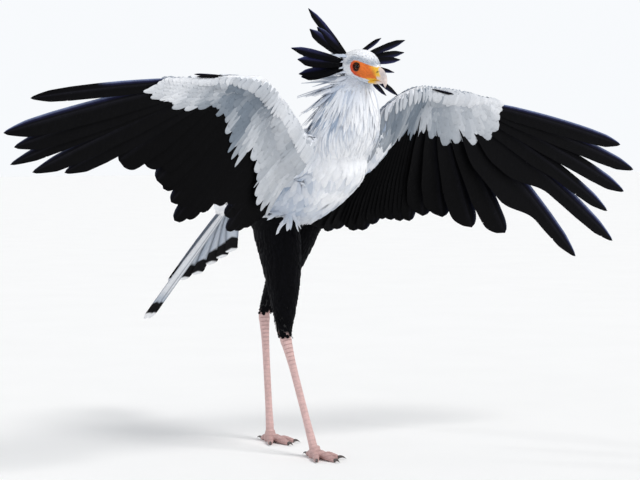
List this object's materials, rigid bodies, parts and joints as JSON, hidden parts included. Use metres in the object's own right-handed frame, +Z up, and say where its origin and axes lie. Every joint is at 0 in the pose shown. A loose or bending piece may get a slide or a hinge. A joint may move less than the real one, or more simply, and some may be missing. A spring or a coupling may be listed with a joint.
{
  "type": "secretary bird",
  "caption": "Life-size still secretary bird, walking with both wings spread, crest fanned and head turned, on long bare legs.",
  "frame": {"origin": "on the floor under the middle of the bird's overall box", "axes": "+Z up, the bird walks towards -Y, and its left wing reaches to +X"},
  "size_m": [1.9344, 1.1322, 1.1351],
  "materials": {
    "body_plumage": "soft pale blue-grey and white feathers",
    "wing_plumage": "black flight feathers with a blue-violet sheen, white coverts",
    "thigh_plumage": "short black feathers",
    "tail_plumage": "grey feathers with a black band and white tips",
    "face_skin": "bare orange-red facial skin, wrinkled",
    "leg_skin": "pink scaled skin, matt",
    "bill_horn": "smooth horn, pinkish grey with a yellow cere",
    "claw_horn": "dark horn, slightly worn",
    "eye_gloss": "wet dark brown eye"
  },
  "bodies": {
    "root": {"torso": "body_plumage", "neck": "body_plumage", "head": "face_skin", "bill_upper": "bill_horn", "bill_lower": "bill_horn", "tail": "tail_plumage", "eye_left": "eye_gloss", "wing_left": "wing_plumage", "thigh_left": "thigh_plumage", "tarsus_left": "leg_skin", "foot_left": "leg_skin", "claw_left_middle": "claw_horn", "claw_left_inner": "claw_horn", "claw_left_outer": "claw_horn", "claw_left_hind": "claw_horn", "eye_right": "eye_gloss", "wing_right": "wing_plumage", "thigh_right": "thigh_plumage", "tarsus_right": "leg_skin", "foot_right": "leg_skin", "claw_right_middle": "claw_horn", "claw_right_inner": "claw_horn", "claw_right_outer": "claw_horn", "claw_right_hind": "claw_horn"}
  },
  "joints": []
}
